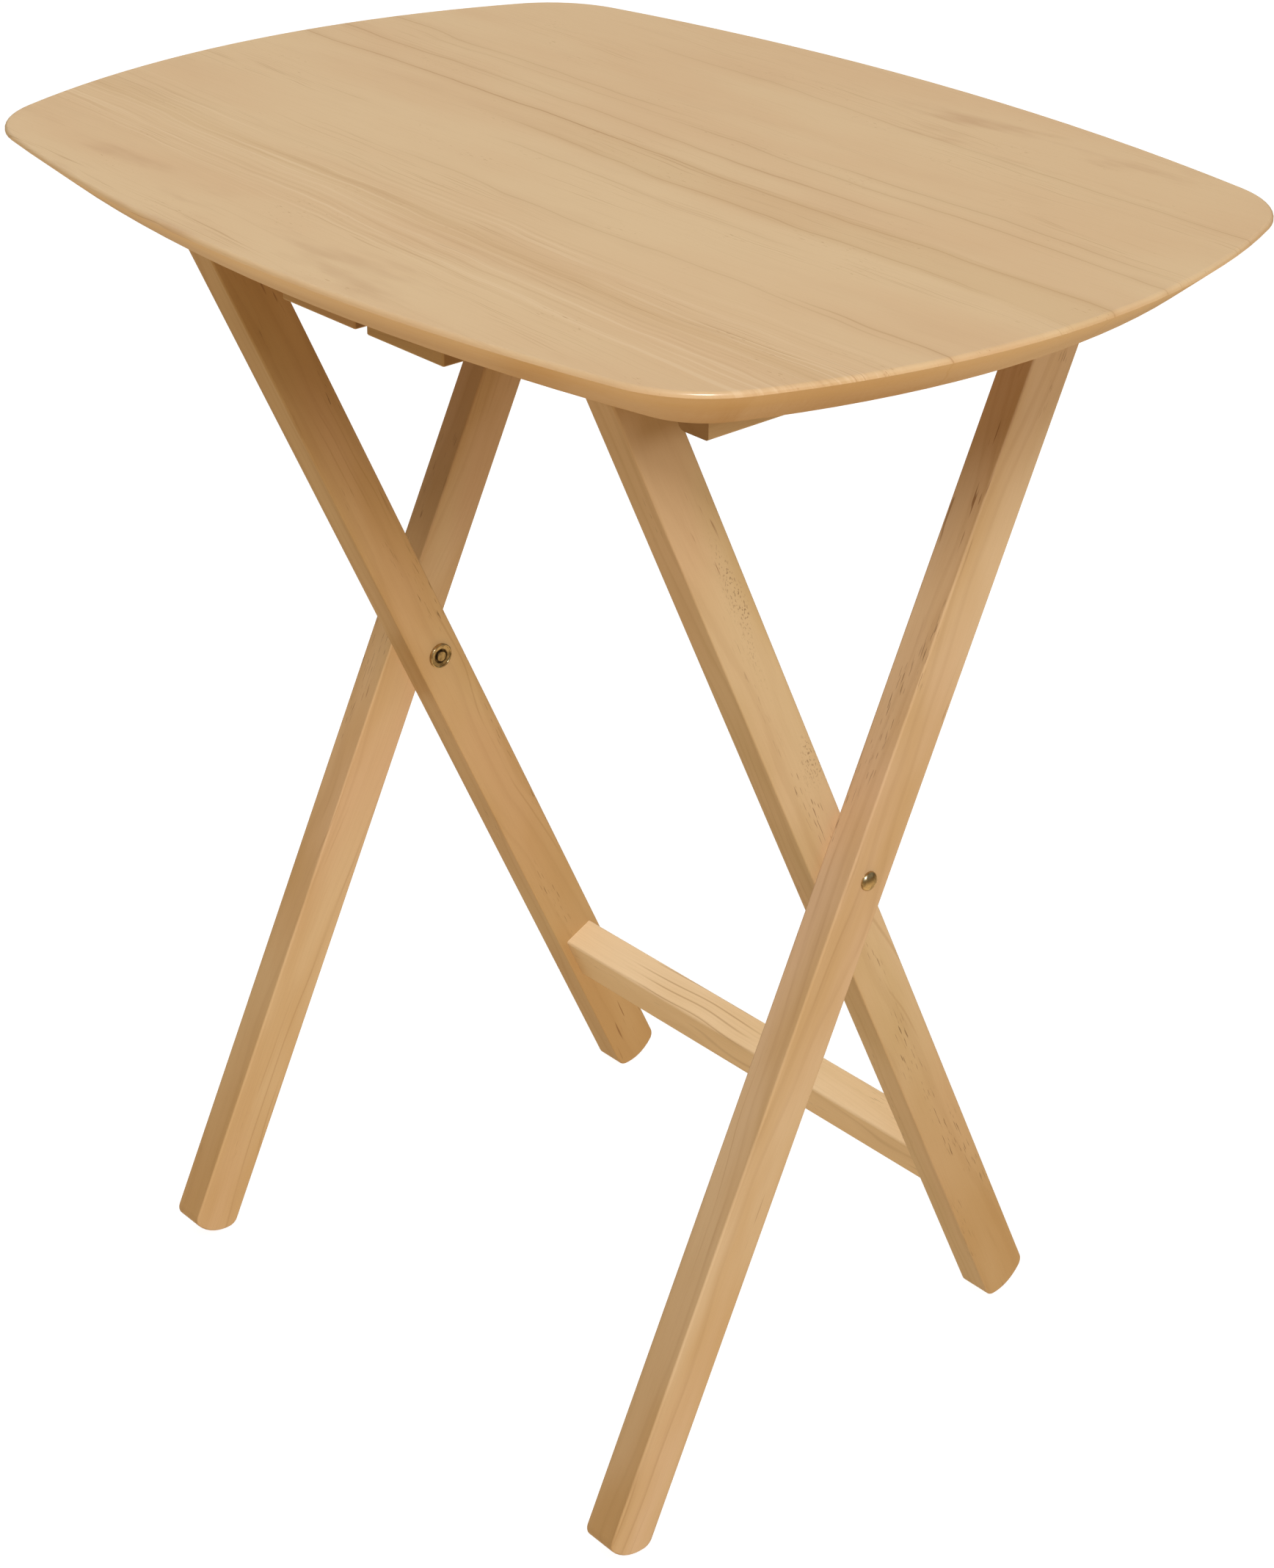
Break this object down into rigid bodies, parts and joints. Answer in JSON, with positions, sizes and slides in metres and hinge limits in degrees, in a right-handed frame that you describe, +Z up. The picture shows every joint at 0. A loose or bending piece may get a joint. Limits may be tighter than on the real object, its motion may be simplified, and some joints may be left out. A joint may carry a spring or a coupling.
{
  "type": "folding tray table",
  "caption": "Folding tray table: a bowed wooden top with an undercut edge, hinged on crossed wooden legs that scissor closed on rivets.",
  "frame": {"origin": "on the floor under the middle of the top", "axes": "+X along the long side, the grain and the hinge lines; -Y the front, where the top lifts; +Z up"},
  "size_m": [0.614, 0.454, 0.66],
  "materials": {
    "top_wood": "satin lacquer",
    "leg_wood": "satin lacquer",
    "rail_wood": "satin lacquer",
    "batten_wood": "satin lacquer",
    "brass": "antique, polished",
    "nylon": "matt",
    "screw_steel": "plated"
  },
  "bodies": {
    "outer_frame": {"outer_leg_left": "leg_wood", "outer_leg_right": "leg_wood", "cross_rivet_left": "brass", "cross_rivet_right": "brass", "cross_spacer_left": "nylon", "cross_spacer_right": "nylon", "cross_washer_left": "brass", "cross_washer_right": "brass", "hinge_rivet_left": "brass", "hinge_rivet_right": "brass", "hinge_ring_left": "nylon", "hinge_ring_right": "nylon", "hinge_washer_left": "brass", "hinge_washer_right": "brass"},
    "inner_frame": {"inner_leg_left": "leg_wood", "inner_leg_right": "leg_wood", "stretcher_dowels_left": "rail_wood", "stretcher_dowels_right": "rail_wood", "stretcher": "rail_wood", "crossbar": "rail_wood"},
    "top": {"top_panel": "top_wood", "batten_left": "batten_wood", "batten_right": "batten_wood", "batten_screws_left": "screw_steel", "batten_screws_right": "screw_steel", "stop_block_left": "batten_wood", "stop_block_right": "batten_wood", "stop_screws_left": "screw_steel", "stop_screws_right": "screw_steel"}
  },
  "joints": [
    {"name": "leg_fold", "type": "hinge", "parent": "outer_frame", "child": "inner_frame", "pos_m": [0, 0, 0.335], "axis": [-1, 0, 0], "range_deg": [0, 50.4]},
    {"name": "top_tilt", "type": "hinge", "parent": "outer_frame", "child": "top", "pos_m": [0, 0.13515, 0.6222], "axis": [-1, 0, 0], "range_deg": [0, 25.2]}
  ],
  "couplings": [
    {"joint": "top_tilt", "follows": "leg_fold", "ratio": 0.5}
  ]
}
